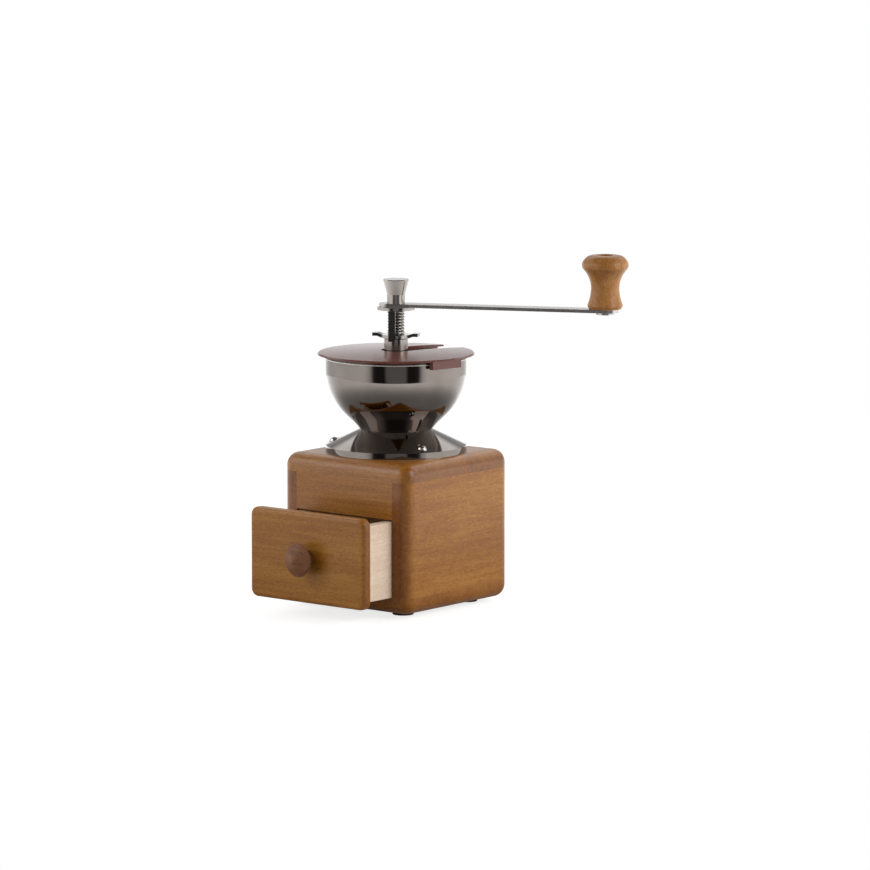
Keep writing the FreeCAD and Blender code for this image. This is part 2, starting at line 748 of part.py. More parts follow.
# Bracket: a strip bent over the burrs that carries the upper bush, with its two screws
body = new_body("shaft_bracket", (0, 0, deck_level))
span = s.bracket_half_span
reach = s.bracket_foot_reach
strip = s.bracket_strip
tall = s.bracket_height
sketch = outline(body, "Strip", "XZ_Plane", [
    (reach, 0), (reach, strip), (span, strip), (span, tall), (-span, tall), (-span, strip),
    (-reach, strip), (-reach, 0), (strip - span, 0), (strip - span, tall - strip),
    (span - strip, tall - strip), (span - strip, 0)])
pad(body, "StripPad", sketch, s.bracket_width, True)
sketch = new_sketch(body, "BushSeat", "XY_Plane", tall)
draw_circle(sketch, 0, 0, s.bush_radius + s.press_clearance)
cut(body, "BushHole", sketch, strip)
sketch = new_sketch(body, "FootWay", "XY_Plane", strip)
draw_circle(sketch, screw_place, 0, s.bracket_screw_radius + s.screw_fit)
draw_circle(sketch, -screw_place, 0, s.bracket_screw_radius + s.screw_fit)
cut(body, "FootHoles", sketch, strip)
body = new_body("bracket_screws", (0, 0, deck_level + strip))
body.AllowCompound = True
sketch = new_sketch(body, "Heads", "XY_Plane")
draw_circle(sketch, screw_place, 0, s.bracket_screw_head_radius)
draw_circle(sketch, -screw_place, 0, s.bracket_screw_head_radius)
pad(body, "HeadPad", sketch, s.bracket_screw_head_height)
sketch = new_sketch(body, "Shanks", "XY_Plane", -strip - s.housing_flange_thickness)
draw_circle(sketch, screw_place, 0, s.bracket_screw_radius)
draw_circle(sketch, -screw_place, 0, s.bracket_screw_radius)
pad(body, "ShankPad", sketch, strip + s.housing_flange_thickness)
body = new_body("upper_bush", (0, 0, bracket_level))
revolve(body, "Bush", [
    (shaft_hole, s.bush_flange_thickness), (shaft_hole, s.bush_flange_thickness - s.bush_length),
    (s.bush_radius, s.bush_flange_thickness - s.bush_length), (s.bush_radius, 0),
    (s.bush_flange_radius, 0), (s.bush_flange_radius, s.bush_flange_thickness)])

# Spindle: shaft with the burr's collar, a square for the cage and arm, a stud for the nut
body = new_body("spindle")
collar_foot = inner_burr_level + s.inner_burr_height
square_top = arm_top - s.seat_clearance
revolve(body, "Shaft", [
    (0, housing_foot - s.spindle_tail), (s.spindle_radius, housing_foot - s.spindle_tail),
    (s.spindle_radius, collar_foot), (s.collar_radius, collar_foot),
    (s.collar_radius, collar_foot + s.collar_height),
    (s.spindle_radius, collar_foot + s.collar_height + (s.collar_radius - s.spindle_radius)),
    (s.spindle_radius, cage_level), (s.stud_radius, cage_level),
    (s.stud_radius, arm_top + s.stud_length), (0, arm_top + s.stud_length)])
half_square = s.square_side / 2
turned = s.crank_turn
across = half_square * cosine(turned)
along = half_square * sine(turned)
sketch = outline(body, "Square", "XY_Plane", [
    (across - along, along + across), (-across - along, across - along),
    (along - across, -along - across), (across + along, along - across)], cage_level)
pad(body, "SquarePad", sketch, square_top - cage_level)

# Inner burr: a cone with deep spiral flutes that run out finer towards its base
body = new_body("inner_burr", (0, 0, inner_burr_level))
cone_bore = s.spindle_radius + s.press_clearance
revolve(body, "Cone", [
    (cone_bore, 0), (s.inner_burr_base_radius, 0), (s.inner_burr_top_radius, s.inner_burr_height),
    (cone_bore, s.inner_burr_height)])
base_half = s.inner_tooth_depth * 0.9
top_half = s.inner_tooth_top_depth * 1.2
low_out = s.inner_burr_base_radius + base_half
lower = outline(body, "FluteLow", "XY_Plane", [
    (low_out, -base_half * 2), (low_out, base_half),
    (s.inner_burr_base_radius - s.inner_tooth_depth * 0.5, 0)])
turned = s.inner_tooth_turn
high_out = s.inner_burr_top_radius + top_half
high_in = s.inner_burr_top_radius - s.inner_tooth_top_depth
upper = outline(body, "FluteHigh", "XY_Plane", [
    (high_out * cosine(turned) + top_half * 2 * sine(turned),
     high_out * sine(turned) - top_half * 2 * cosine(turned)),
    (high_out * cosine(turned) - top_half * sine(turned),
     high_out * sine(turned) + top_half * cosine(turned)),
    (high_in * cosine(turned), high_in * sine(turned))], s.inner_burr_height)
flute = body.newObject("PartDesign::SubtractiveLoft", "Flute")
flute.Profile = lower
flute.Sections = [upper]
flute.Ruled = True
doc.recompute()
polar(body, "Flutes", [flute], s.inner_tooth_count)

# Hexagon nut that holds the inner burr up against the collar
body = new_body("burr_nut", (0, 0, inner_burr_level - s.burr_nut_height))
hexagon = []
for step in range(6):
    angle = as_len(step * 60)
    hexagon.append((s.burr_nut_radius * cosine(angle), s.burr_nut_radius * sine(angle)))
sketch = outline(body, "Hexagon", "XY_Plane", hexagon)
draw_circle(sketch, 0, 0, cone_bore)
pad(body, "HexagonPad", sketch, s.burr_nut_height)

# Thrust washer that rides on the bush and turns with the spindle
body = new_body("thrust_washer", (0, 0, bush_level))
revolve(body, "Washer", rectangle(shaft_hole, s.washer_radius, 0, s.washer_thickness))

# Adjusting nut on the spindle's thread
body = new_body("adjusting_nut", (0, 0, nut_level))
nut_edge = s.nut_radius - s.nut_chamfer
revolve(body, "Nut", [
    (shaft_hole, 0), (nut_edge, 0), (s.nut_radius, s.nut_chamfer),
    (s.nut_radius, s.nut_height - s.nut_chamfer), (nut_edge, s.nut_height), (shaft_hole, s.nut_height)])

# Lock plate: a disc between the cage's legs with two wings whose tips turn up
body = new_body("lock_plate", (0, 0, plate_level), s.crank_turn)
rise = s.wing_rise
thick = s.plate_thickness
tip_start = s.wing_reach - s.wing_tip
sketch = outline(body, "Wing", "XZ_Plane", [
    (-s.wing_reach, rise), (-tip_start, rise), (-s.wing_bend + rise, 0), (s.wing_bend - rise, 0),
    (tip_start, rise), (s.wing_reach, rise), (s.wing_reach, rise + thick), (tip_start, rise + thick),
    (s.wing_bend - rise, thick), (rise - s.wing_bend, thick), (-tip_start, rise + thick),
    (-s.wing_reach, rise + thick)])
pad(body, "WingPad", sketch, s.wing_width, True)
sketch = new_sketch(body, "Disc", "XY_Plane")
draw_circle(sketch, 0, 0, s.plate_radius)
pad(body, "DiscPad", sketch, thick)
sketch = new_sketch(body, "PlateBore", "XY_Plane", thick)
draw_circle(sketch, 0, 0, s.spindle_radius + s.plate_slip)
cut(body, "PlateHole", sketch, thick)

# Stop cage: a disc under the arm with two legs that guide the lock plate
body = new_body("stop_cage", (0, 0, cage_level), s.crank_turn)
square_hole = half_square + s.square_fit
leg_in = s.plate_radius + s.plate_slip
leg_out = leg_in + s.leg_thickness
sketch = new_sketch(body, "Disc", "XY_Plane")
draw_circle(sketch, 0, 0, s.cage_radius)
draw_loop(sketch, rectangle(-square_hole, square_hole, -square_hole, square_hole))
pad(body, "DiscPad", sketch, s.cage_thickness)
sketch = outline(body, "Leg", "XY_Plane", rectangle(-s.leg_width / 2, s.leg_width / 2, -leg_out, -leg_in),
                 -s.leg_length)
leg = pad(body, "LegPad", sketch, s.leg_length + s.cage_thickness)
polar(body, "Legs", [leg], 2)

# Coil spring between the plate and the cage: one wire, its ends square to both
wire = s.spring_wire.value
coil = s.spring_radius.value
low = spring_level.value
high = cage_level.value
lead = s.spring_lead.value
turns = s.spring_turns.value
lead_turn = lead / coil
rate = (high - low - 2 * (wire + lead)) / (2 * math.pi * turns - 2 * lead_turn)


def helix(angle):
    """Point and direction of the wire at one angle from its lower end."""
    point = FreeCAD.Vector(coil * math.cos(angle), coil * math.sin(angle),
                           low + wire + lead + rate * (angle - lead_turn))
    along = FreeCAD.Vector(-coil * math.sin(angle), coil * math.cos(angle), rate)
    return point, along.normalize()


def biarc(first, first_way, last, last_way):
    """Two arcs that join two points smoothly along two directions."""
    gap = last - first
    total = first_way + last_way
    blend = 2 * (1 - first_way.dot(last_way))
    reach = gap.dot(total)
    length = (math.sqrt(reach * reach + blend * gap.dot(gap)) - reach) / blend
    middle = (first + last + (first_way - last_way) * length) * 0.5
    arcs = []
    for begin, knee, end in ((first, first + first_way * length, middle),
                             (middle, last - last_way * length, last)):
        weight = (end - begin).Length / (2 * length)
        via = (begin + knee * (2 * weight) + end) * (1 / (2 + 2 * weight))
        arcs.append(Part.Arc(begin, via, end))
    return arcs


upward = FreeCAD.Vector(0, 0, 1)
end_angle = 2 * math.pi * turns
foot = FreeCAD.Vector(coil, 0, low)
head = FreeCAD.Vector(coil * math.cos(end_angle), coil * math.sin(end_angle), high)
stations = [(foot + upward * wire, upward)]
quarters = int(round((end_angle - 2 * lead_turn) / (math.pi / 2)))
for step in range(quarters + 1):
    stations.append(helix(lead_turn + (end_angle - 2 * lead_turn) * step / quarters))
stations.append((head - upward * wire, upward))
arcs = []
for (start, start_way), (end, end_way) in zip(stations, stations[1:]):
    arcs += biarc(start, start_way, end, end_way)
edges = [Part.LineSegment(foot, foot + upward * wire).toShape()]
edges += [arc.toShape() for arc in arcs]
edges.append(Part.LineSegment(head - upward * wire, head).toShape())
path = Part.Wire(edges)
section = Part.Wire([Part.makeCircle(wire / 2, foot, upward)])
shape = path.makePipeShell([section], True, False)
tightest = min(edge.Curve.Radius for edge in edges[1:-1])
samples = path.discretize(Number=900)
step_length = path.Length / 899
skip = int(math.ceil(math.pi * wire / step_length))
least = min((samples[i] - samples[j]).Length for i in range(0, 900, 2) for j in range(i + skip, 900, 2))
print("spring: least gap %.3f mm, tightest arc %.3f mm, volume ratio %.4f"
      % (least - wire, tightest, shape.Volume / (math.pi * wire * wire / 4 * path.Length)))
spring = doc.addObject("Part::Feature", "lock_spring")
spring.Label = "lock_spring"
spring.Shape = shape
spring.Placement = FreeCAD.Placement()

# Crank arm: a flat bar with round ends that passes the spindle and the grip a little
body = new_body("crank_arm", (0, 0, arm_level), s.crank_turn)
half_bar = s.arm_width / 2
bar_end = s.arm_reach + s.arm_end
sketch = outline(body, "Bar", "XY_Plane", [
    (half_bar - s.arm_tail, half_bar), (-s.arm_tail, 0, "arc"), (half_bar - s.arm_tail, -half_bar),
    (bar_end - half_bar, -half_bar), (bar_end, 0, "arc"), (bar_end - half_bar, half_bar)])
draw_loop(sketch, rectangle(-square_hole, square_hole, -square_hole, square_hole))
draw_circle(sketch, s.arm_reach, 0, s.pin_radius + s.screw_fit)
pad(body, "BarPad", sketch, s.arm_thickness)

# Handle nut: a slim stem that flares to its crown, blind on top
body = new_body("handle_nut", (0, 0, arm_top))
stud_hole = s.stud_radius + s.screw_fit
revolve(body, "Nut", [
    (stud_hole, 0), (s.handle_nut_stem_radius, 0), (s.handle_nut_stem_radius, s.handle_nut_stem),
    (s.handle_nut_radius, s.handle_nut_height - s.handle_nut_crown),
    (s.handle_nut_radius - s.handle_nut_crown, s.handle_nut_height), (0, s.handle_nut_height),
    (0, s.stud_length + s.seat_clearance), (stud_hole, s.stud_length + s.seat_clearance)])

# Grip pin: riveted under the arm, with a head that keeps the grip on
body = new_body("grip_pin", (grip_x, grip_y, arm_level))
grip_foot = s.arm_thickness + s.grip_gap
recess_floor = grip_foot + s.grip_height - s.grip_recess_depth
head_foot = recess_floor + s.grip_gap
revolve(body, "Pin", [
    (0, -s.rivet_height), (s.rivet_radius, -s.rivet_height), (s.rivet_radius, 0), (s.pin_radius, 0),
    (s.pin_radius, head_foot), (s.pin_head_radius, head_foot),
    (s.pin_head_radius, head_foot + s.pin_head_height), (0, head_foot + s.pin_head_height)])

# Turned grip: foot, waist, swelling shoulder and a rounded crown with a recess
body = new_body("grip", (grip_x, grip_y, arm_top + s.grip_gap))
grip_bore = s.pin_radius + s.running_clearance
recess_level = s.grip_height - s.grip_recess_depth
revolve(body, "Grip", [
    (grip_bore, 0), (s.grip_base_radius - s.grip_base_height / 2, 0),
    (s.grip_base_radius, s.grip_base_height),
    ((s.grip_base_radius + s.grip_waist_radius * 2) / 3,
     (s.grip_base_height + s.grip_waist_height) * 0.45, "arc"),
    (s.grip_waist_radius, s.grip_waist_height),
    (s.grip_neck_radius, s.grip_neck_height, "arc"),
    (s.grip_shoulder_radius, s.grip_shoulder_height),
    (s.grip_radius, s.grip_widest, "arc"),
    (s.grip_brow_radius, s.grip_brow_height),
    (s.grip_crown_radius, s.grip_crown_height, "arc"),
    (s.grip_top_radius, s.grip_height),
    (s.grip_recess_radius, s.grip_height), (s.grip_recess_radius, recess_level),
    (grip_bore, recess_level)])

# Lid: a shallow domed cover on a ring, with a slot to its edge and two tabs that hang over the bowl
body = new_body("lid", (0, 0, rim_level + s.lid_gap), s.lid_turn)
recess_edge = s.lid_edge - s.lid_skin * 0.7
dome_base = s.lid_radius - s.lid_edge_round
revolve(body, "Cover", [
    (0, s.lid_edge + s.lid_rise - s.lid_skin), (s.lid_recess_radius, recess_edge),
    (s.lid_recess_radius, 0), (s.lid_ring_radius, 0),
    (s.lid_ring_radius, s.lid_step), (s.lid_radius, s.lid_step),
    (s.lid_radius, s.lid_edge - s.lid_edge_round), (dome_base, s.lid_edge),
    (dome_base / 2, s.lid_edge + cap(dome_base, s.lid_rise, dome_base / 2), "arc"),
    (0, s.lid_edge + s.lid_rise)])
tab_in = s.bowl_radius + s.tab_set
sketch = new_sketch(body, "Tabs", "XY_Plane", -s.tab_drop)
draw_loop(sketch, rectangle(tab_in, tab_in + s.tab_thickness, -s.tab_width / 2, s.tab_width / 2))
draw_loop(sketch, rectangle(-tab_in - s.tab_thickness, -tab_in, -s.tab_width / 2, s.tab_width / 2))
pad(body, "TabPad", sketch, s.tab_drop + s.lid_edge - s.tab_shoulder)
half_slot = s.slot_width / 2
sketch = outline(body, "Slot", "XY_Plane", [
    (half_slot, 0), (half_slot, s.lid_radius * 1.1), (-half_slot, s.lid_radius * 1.1), (-half_slot, 0),
    (0, -half_slot, "arc")], s.lid_edge + s.lid_rise)
cut(body, "SlotCut", sketch, s.lid_edge + s.lid_rise)

# Every object has to be sound before anything is written
doc.recompute()
pieces = []
for thing in doc.Objects:
    if "Invalid" in thing.State or "Error" in thing.State:
        raise RuntimeError("failed: " + thing.Label)
    if thing.TypeId in ("PartDesign::Body", "Part::Compound") or thing.Label == "lock_spring":
        if thing.Shape.isNull() or not thing.Shape.isValid():
            raise RuntimeError("no sound shape: " + thing.Label)
        pieces.append(thing)
os.makedirs("parts", exist_ok=True)
for piece in pieces:
    piece.Shape.exportStep("parts/%s.step" % piece.Label)
print("%d pieces written" % len(pieces))
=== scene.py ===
import bpy
import json
import math
import numpy as np
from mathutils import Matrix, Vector


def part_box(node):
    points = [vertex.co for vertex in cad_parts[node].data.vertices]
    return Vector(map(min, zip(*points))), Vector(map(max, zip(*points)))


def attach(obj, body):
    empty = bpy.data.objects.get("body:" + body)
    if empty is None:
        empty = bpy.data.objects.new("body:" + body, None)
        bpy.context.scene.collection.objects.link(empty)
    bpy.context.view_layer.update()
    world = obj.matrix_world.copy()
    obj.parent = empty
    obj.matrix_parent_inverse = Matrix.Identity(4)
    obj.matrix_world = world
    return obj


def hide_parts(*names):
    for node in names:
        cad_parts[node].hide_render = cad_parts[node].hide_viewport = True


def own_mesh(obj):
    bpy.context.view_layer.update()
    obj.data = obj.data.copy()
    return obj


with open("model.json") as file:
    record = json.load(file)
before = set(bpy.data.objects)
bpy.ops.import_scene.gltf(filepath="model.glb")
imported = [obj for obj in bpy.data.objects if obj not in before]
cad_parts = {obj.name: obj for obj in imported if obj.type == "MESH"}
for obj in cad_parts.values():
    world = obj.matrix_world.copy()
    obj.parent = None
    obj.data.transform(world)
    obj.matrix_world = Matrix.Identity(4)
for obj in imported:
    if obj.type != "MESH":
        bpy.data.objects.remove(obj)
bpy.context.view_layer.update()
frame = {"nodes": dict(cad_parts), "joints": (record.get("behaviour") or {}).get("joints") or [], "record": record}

# Case: six boards of stained hardwood, glued edge to edge and rounded over on the outside.
# Top, bottom, front and back have their grain from left to right, the two sides from front to back.
# Where a board's end shows, the cut fibres drink more stain and the wood is darker.
STAIN = ((136, 81, 21), (152, 96, 29), (167, 112, 43))
STAIN_PORE = (96, 55, 24)
STAIN_END = (0.66, 0.58, 0.54, 1)
PLAIN_END = (0.9, 0.86, 0.82, 1)
LACQUER, TOP_LACQUER = 0.5, 0.6
BAND_WAVES, STREAK_WAVES = (7, 62, 62), (26, 420, 420)
SPECK_WAVES, PORE_WAVES = (420, 1500, 1500), (230, 1700, 1700)
BAND_SHARE, STREAK_SHARE, SPECK_SHARE, SHARE_START = 0.32, 0.36, 0.5, -0.09
TONE_STOPS, PORE_EDGE, END_EDGE = (0.39, 0.5, 0.61), (0.6, 0.72), (0.35, 0.95)
WOOD_ROUGH, PORE_ROUGH, STREAK_ROUGH = 0.34, 0.15, 0.2
PORE_RELIEF = -0.8
BLACK, WHITE = (0, 0, 0, 1), (1, 1, 1, 1)


def tone(rgb):
    """Colour of a paint chart (0 to 255) as the linear colour that a shader takes."""
    share = np.array(rgb) / 255
    linear = np.where(share < 0.04045, share / 12.92, ((share + 0.055) / 1.055) ** 2.4)
    return (*linear.tolist(), 1)


def add(tree, kind, sockets, **settings):
    """One shader node, with a value or the output that feeds it for each socket."""
    made = tree.nodes.new("ShaderNode" + kind)
    for key, value in settings.items():
        setattr(made, key, value)
    for key, value in sockets.items():
        if isinstance(value, bpy.types.NodeSocket):
            tree.links.new(value, made.inputs[key])
        else:
            made.inputs[key].default_value = value
    return made


def finish(name, **constants):
    """New material whose shader has these constant sockets, given with _ for a space."""
    made = bpy.data.materials.new(name)
    made.use_nodes = True
    shader = made.node_tree.nodes["Principled BSDF"]
    for key, value in constants.items():
        shader.inputs[key.replace("_", " ")].default_value = value
    return made, made.node_tree, shader


def ramp(tree, source, stops):
    """Colour by a value, from stops of (place, colour)."""
    made = add(tree, "ValToRGB", {"Fac": source})
    points = made.color_ramp.elements
    while len(points) < len(stops):
        points.new(0.5)
    for point, (place, colour) in zip(points, stops):
        point.position = place
        point.color = colour
    return made.outputs["Color"]


def mask(tree, source, edge):
    """Black below an edge and white above it, with a slope across it."""
    return ramp(tree, source, [(edge[0], BLACK), (edge[1], WHITE)])


def noise(tree, source, stretch, detail, rough=0.5):
    """Smooth noise with a number of waves per metre along each axis."""
    spread = add(tree, "Mapping", {"Vector": source, "Scale": stretch})
    made = add(tree, "TexNoise", {"Vector": spread.outputs["Vector"], "Scale": 1.0,
                                  "Detail": detail, "Roughness": rough})
    return made.outputs["Fac"]


def weigh(tree, first, share, second):
    """first * share + second, each a number or an output."""
    made = add(tree, "Math", {0: first, 1: share, 2: second}, operation="MULTIPLY_ADD")
    return made.outputs["Value"]


def times(tree, first, second):
    """first * second, each a number or an output."""
    return add(tree, "Math", {0: first, 1: second}, operation="MULTIPLY").outputs["Value"]


def blend(tree, how, share, first, second):
    """Two colours mixed in one of the paint-box ways."""
    made = add(tree, "Mix", {0: share, 6: first, 7: second}, data_type="RGBA", blend_type=how)
    return made.outputs[2]


def relieve(tree, shader, height, strength, depth):
    """Fine relief on a surface: its height from an output, its depth in metres."""
    bump = add(tree, "Bump", {"Height": height, "Strength": strength, "Distance": depth})
    tree.links.new(bump.outputs["Normal"], shader.inputs["Normal"])


def timber(name, grain, place_in_log, tones, pore, end, gloss, fleck=0.4):
    """Sawn timber under lacquer: soft bands, fine streaks and short pores, all drawn out along the grain.

    The grain is turned onto X, so every wave count along X is low and across it is high."""
    made, tree, shader = finish(name, Specular_IOR_Level=0.12, Coat_Weight=gloss, Coat_Roughness=0.27)
    turn = {"X": (0, 0, 0), "Y": (0, 0, -math.pi / 2), "Z": (0, math.pi / 2, 0)}[grain]
    place = add(tree, "TexCoord", {})
    log = add(tree, "Mapping", {"Vector": place.outputs["Object"], "Rotation": turn,
                                "Location": place_in_log}).outputs["Vector"]
    bands = noise(tree, log, BAND_WAVES, 2)
    streaks = noise(tree, log, STREAK_WAVES, 3, 0.6)
    specks = noise(tree, log, SPECK_WAVES, 2, 0.7)
    pores = noise(tree, log, PORE_WAVES, 1)
    figure = weigh(tree, specks, SPECK_SHARE, SHARE_START)
    figure = weigh(tree, streaks, STREAK_SHARE, figure)
    figure = weigh(tree, bands, BAND_SHARE, figure)
    body = ramp(tree, figure, [(stop, tone(shade)) for stop, shade in zip(TONE_STOPS, tones)])
    open_pore = mask(tree, pores, PORE_EDGE)
    flecked = blend(tree, "MIX", times(tree, open_pore, fleck), body, tone(pore))
    axis = {"X": (1, 0, 0), "Y": (0, 1, 0), "Z": (0, 0, 1)}[grain]
    facing = add(tree, "VectorMath", {0: place.outputs["Normal"], 1: axis}, operation="DOT_PRODUCT")
    size = add(tree, "Math", {0: facing.outputs["Value"]}, operation="ABSOLUTE").outputs["Value"]
    cut_end = mask(tree, size, END_EDGE)
    tree.links.new(blend(tree, "MULTIPLY", cut_end, flecked, end), shader.inputs["Base Color"])
    rough = weigh(tree, streaks, STREAK_ROUGH, weigh(tree, open_pore, PORE_ROUGH, WOOD_ROUGH))
    tree.links.new(rough, shader.inputs["Roughness"])
    relieve(tree, shader, weigh(tree, open_pore, PORE_RELIEF, streaks), strength=0.12, depth=0.0002)
    return made


def dress(material, *names):
    """Gives a material to whole nodes of the frame."""
    for name in names:
        slots = frame["nodes"][name].data.materials
        slots.clear()
        slots.append(material)


for board, grain, place_in_log, end, gloss in (
        ("top_board", "X", (0.31, 0.041, -0.16), STAIN_END, TOP_LACQUER),
        ("bottom_board", "X", (0.77, -0.03, 0.09), PLAIN_END, LACQUER),
        ("left_side_board", "Y", (0.13, 0.085, -0.02), STAIN_END, LACQUER),
        ("right_side_board", "Y", (0.52, 0.075, 0.045), STAIN_END, LACQUER),
        ("front_panel", "X", (0.93, 0.11, -0.03), STAIN_END, LACQUER),
        ("back_panel", "X", (0.21, -0.12, -0.06), STAIN_END, LACQUER)):
    dress(timber(board + "_stain", grain, place_in_log, STAIN, STAIN_PORE, end, gloss), board)

# Feet: four black rubber discs, moulded and stuck under the bottom board.
# The mould leaves them matt, with a fine grit.
RUBBER_DARK, RUBBER = (15, 14, 14), (24, 23, 22)
MOTTLE_LOW, MOTTLE_HIGH = 0.3, 0.7


def mottle(tree, shader, source, dark, light):
    """Base colour that drifts between two tones with a noise."""
    colour = ramp(tree, source, [(MOTTLE_LOW, tone(dark)), (MOTTLE_HIGH, tone(light))])
    tree.links.new(colour, shader.inputs["Base Color"])


def gritty(name, tones, waves, detail, spread, rough, strength, depth, **constants):
    """Matt body: one fine grit varies its tone, its roughness and its surface."""
    made, tree, shader = finish(name, **constants)
    place = add(tree, "TexCoord", {}).outputs["Object"]
    grit = noise(tree, place, (waves, waves, waves), detail)
    mottle(tree, shader, grit, *tones)
    tree.links.new(weigh(tree, grit, spread, rough), shader.inputs["Roughness"])
    relieve(tree, shader, grit, strength, depth)
    return made


dress(gritty("foot_rubber", (RUBBER_DARK, RUBBER), waves=2600, detail=2, spread=0.25, rough=0.55,
             strength=0.3, depth=0.0001, Specular_IOR_Level=0.3), "rubber_feet")

# Drawer front: one board of the same stained hardwood, wider than the box behind it.
# Its edges are softened, and its grain runs from side to side.
FRONT = ((140, 86, 24), (157, 102, 33), (172, 117, 46))
dress(timber("drawer_front_stain", "X", (0.44, 0.13, 0.02), FRONT, STAIN_PORE, STAIN_END,
             gloss=0.35, fleck=0.5), "drawer_front")

# Drawer box: thin bare boards of pale close-grained wood, butted and glued.
# Bare wood has no gloss and hardly any figure.
PALE = ((222, 197, 172), (231, 209, 186), (238, 220, 200))
PALE_PORE = (206, 178, 150)
PALE_END = (0.86, 0.8, 0.74, 1)
for board, grain, place_in_log in (("drawer_left_side", "Y", (0.2, 0.3, 0.02)),
                                   ("drawer_right_side", "Y", (0.6, 0.24, 0.05)),
                                   ("drawer_back", "X", (0.1, 0.25, 0.04)),
                                   ("drawer_bottom", "X", (0.8, 0.05, 0.3))):
    dress(timber(board + "_pale", grain, place_in_log, PALE, PALE_PORE, PALE_END, gloss=0.0, fleck=0.25),
          board)

# Drawer knob: turned from a darker wood and left matt.
# A steel screw from inside the drawer holds it against the front.
KNOB = ((110, 69, 45), (125, 82, 56), (138, 95, 67))
KNOB_PORE = (72, 42, 26)
KNOB_END = (0.9, 0.88, 0.86, 1)
DRIFT_WAVES = (60, 60, 60)
DRIFT_SHADE = 0.9
SCRATCH_DEPTH = 0.00004
dress(timber("knob_wood", "X", (0.35, 0.062, -0.03), KNOB, KNOB_PORE, KNOB_END, gloss=0.05, fleck=0.3),
      "drawer_knob")


def steel(name, colour, rough, spread, scratch, streak=(300, 300, 300)):
    """Bare metal: one colour, a roughness that drifts, and fine marks along the streak.

    A noise averages a half, so the shares of drift and marks leave the mean roughness at rough."""
    made, tree, shader = finish(name, Metallic=1.0)
    place = add(tree, "TexCoord", {}).outputs["Object"]
    drift = noise(tree, place, DRIFT_WAVES, 3)
    marks = noise(tree, place, streak, 2)
    mottle(tree, shader, drift, [channel * DRIFT_SHADE for channel in colour], colour)
    marked = weigh(tree, marks, spread * 0.5, rough - spread * 0.75)
    tree.links.new(weigh(tree, drift, spread, marked), shader.inputs["Roughness"])
    relieve(tree, shader, marks, scratch, SCRATCH_DEPTH)
    return made


dress(steel("knob_screw_steel", (150, 146, 140), rough=0.35, spread=0.1, scratch=0.1), "knob_screw")

# Base flange and hopper bowl: spun sheet, polished and plated in a dark smoky nickel.
# The plate is a near mirror; wiping leaves a faint haze and hair-fine marks.
SMOKE = (118, 111, 106)
dress(steel("dark_plate", SMOKE, rough=0.05, spread=0.03, scratch=0.01, streak=(900, 900, 60)),
      "hopper_bowl", "base_flange")

# Rim and flange screws: the bowl's edge is rolled over into a fine bead, and three domed screws hold the
# flange. The bead's pale tone, lighter than the smoky plate it is rolled from, is partly a satin finish and
# partly a painted highlight along the rim. Sizes of new pieces are in millimetres, and their places come
# from the nodes that they sit on.
PER_METRE = 1000
RIM_WIRE, RIM_PROUD, RIM_DROP = 0.9, 0.05, 0.65
RIM_SATIN_AND_HIGHLIGHT = (206, 202, 197)
SHARP = math.radians(32)


def foot(node):
    """Lowest point of a node of the frame, in millimetres."""
    return round(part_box(node)[0].z * PER_METRE, 3)


def top(node):
    """Highest point of a node of the frame, in millimetres."""
    return round(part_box(node)[1].z * PER_METRE, 3)


def reach(node):
    """How far a round node of the frame reaches from the spindle axis, in millimetres."""
    low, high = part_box(node)
    return round(max(-low.x, -low.y, high.x, high.y) * PER_METRE, 3)


def grid_mesh(name, grid, close_rows=False):
    """Mesh of a grid of points (rows, columns, 3) whose columns close into rings.

    Open rows are capped at both ends, and faces point away from the rings' middle."""
    rows, columns = grid.shape[:2]
    order = np.arange(rows * columns).reshape(rows, columns)
    lower = order if close_rows else order[:-1]
    upper = np.roll(order, -1, 0) if close_rows else order[1:]
    quads = np.stack([lower, np.roll(lower, -1, 1), np.roll(upper, -1, 1), upper], -1).reshape(-1, 4)
    caps = [] if close_rows else [order[0][::-1].tolist(), order[-1].tolist()]
    mesh = bpy.data.meshes.new(name)
    mesh.from_pydata(grid.reshape(-1, 3).tolist(), [], quads.tolist() + caps)
    mesh.shade_smooth()
    mesh.set_sharp_from_angle(angle=SHARP)
    piece = bpy.data.objects.new(name, mesh)
    bpy.context.scene.collection.objects.link(piece)
    return piece


def ring_grid(radius, level, wire, rings=180, sides=14):
    """Round section of a closed ring: radius + wire / 2 * cos, level + wire / 2 * sin."""
    turn = np.linspace(0, 2 * math.pi, rings, endpoint=False)[:, None]
    around = np.linspace(0, 2 * math.pi, sides, endpoint=False)[None, :]
    out = radius + wire / 2 * np.cos(around)
    rise = np.broadcast_to(level + wire / 2 * np.sin(around), (rings, sides))
    return np.stack([out * np.cos(turn), out * np.sin(turn), rise], -1) / PER_METRE


rim_grid = ring_grid(reach("hopper_bowl") + RIM_PROUD, top("hopper_bowl") - RIM_DROP, RIM_WIRE)
bead = grid_mesh("rolled_rim", rim_grid[:, ::-1], True)
# The bead's pale satin tone is partly a painted highlight: a bright line along the rim.
bead.data.materials.append(steel("rim_satin_and_highlight", RIM_SATIN_AND_HIGHLIGHT, rough=0.4, spread=0.08, scratch=0.02))
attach(bead, "case")
dress(steel("flange_screw_plate", (190, 186, 182), rough=0.14, spread=0.08, scratch=0.05), "flange_screws")

# Burr housing and lower bearing: cast metal, blasted after casting.
# The burrs are unglazed ceramic, pale and even.
CERAMIC_DARK, CERAMIC = (220, 214, 203), (238, 234, 226)
dress(steel("cast_metal", (176, 174, 170), rough=0.5, spread=0.15, scratch=0.4, streak=(1400, 1400, 1400)),
      "burr_housing", "lower_bearing")
dress(gritty("burr_ceramic", (CERAMIC_DARK, CERAMIC), waves=1800, detail=3, spread=0.2, rough=0.42,
             strength=0.15, depth=0.00008, Specular_IOR_Level=0.5), "outer_burr", "inner_burr")

